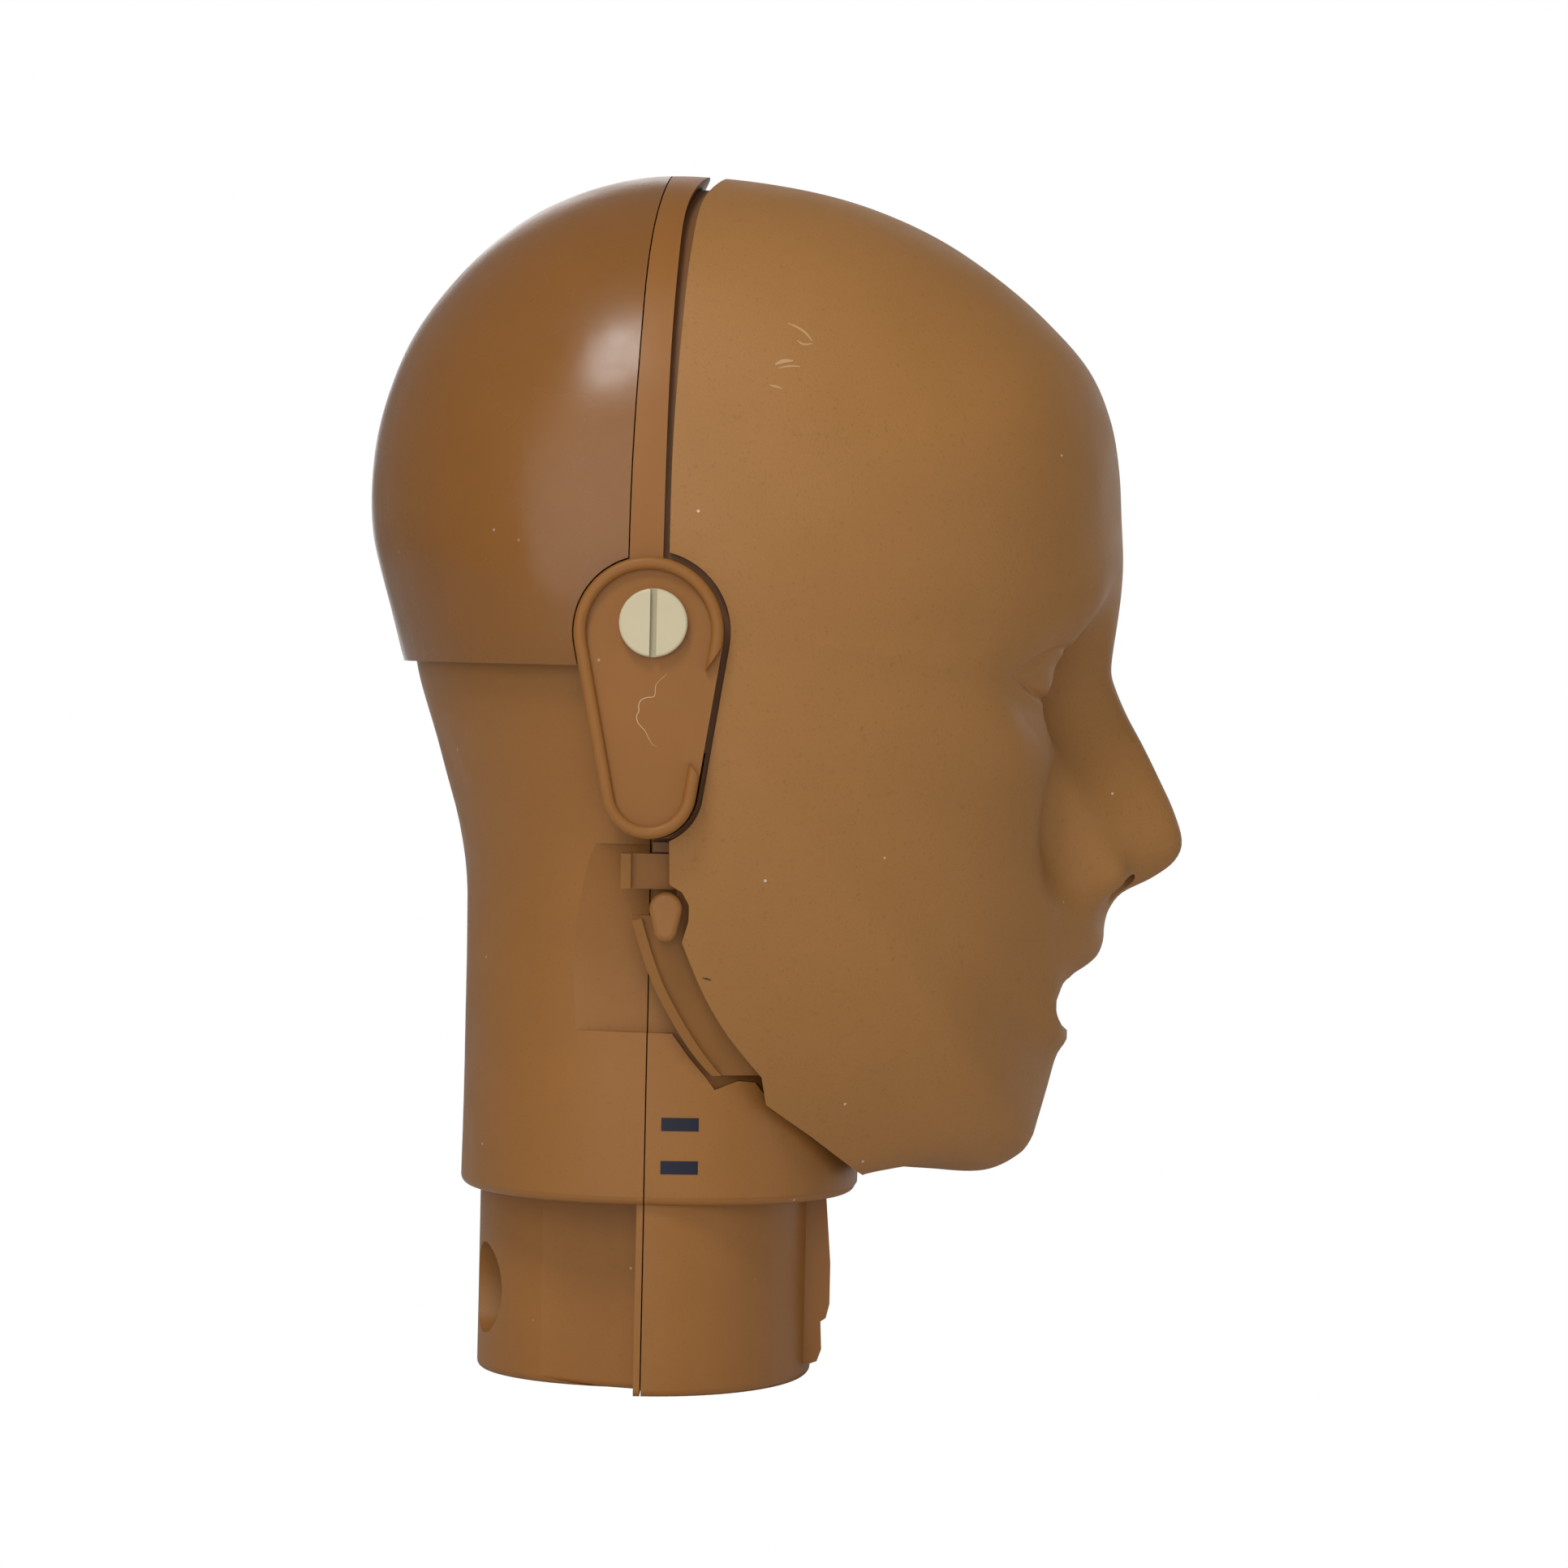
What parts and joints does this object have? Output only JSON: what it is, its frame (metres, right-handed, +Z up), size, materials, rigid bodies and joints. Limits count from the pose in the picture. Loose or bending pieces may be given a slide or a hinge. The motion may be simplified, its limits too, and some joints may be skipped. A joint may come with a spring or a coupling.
{
  "type": "cpr training manikin head",
  "caption": "Adult training manikin head on a plug-in neck: tilting head, sliding jaw, soft face with open mouth, hoop with ear plates, skull cap and split neck shells.",
  "frame": {"origin": "centre of the neck plug's foot, on the plane where the two neck halves meet", "axes": "+X towards the face, +Y towards the head's own left ear, +Z up along the neck plug"},
  "size_m": [0.1911, 0.1554, 0.2787],
  "materials": {
    "skin": "matte soft vinyl with fine speckle",
    "shell": "semi-gloss moulding",
    "neck": "satin moulding",
    "nylon": "ivory nylon",
    "brass": "turned",
    "steel": "zinc plated",
    "duct": "natural moulding"
  },
  "bodies": {
    "neck": {"neck_rear_shell": "neck", "neck_front_shell": "neck", "shell_screws": "steel", "airway_duct": "duct", "pivot_screw_right": "nylon", "pivot_screw_left": "nylon", "pivot_insert_right": "brass", "pivot_insert_left": "brass", "pivot_washer_right": "nylon", "pivot_washer_left": "nylon"},
    "head": {"skull_cap": "shell", "head_band": "shell", "face_skin": "skin", "face_frame": "neck", "mouth_insert": "duct", "guide_peg_right": "shell", "guide_peg_left": "shell"},
    "jaw": {"jaw_plate_right": "shell", "jaw_plate_left": "shell", "chin_bridge": "duct", "jaw_screws": "steel"}
  },
  "joints": [
    {"name": "head_tilt", "type": "hinge", "parent": "neck", "child": "head", "pos_m": [0, 0, 0.174], "axis": [0, -1, 0], "range_deg": [0, 16]},
    {"name": "jaw_thrust", "type": "slide", "parent": "head", "child": "jaw", "axis": [1, 0, 0], "range_m": [0, 0.008], "stiffness_N_per_m": 400, "springref_m": -0.004}
  ]
}
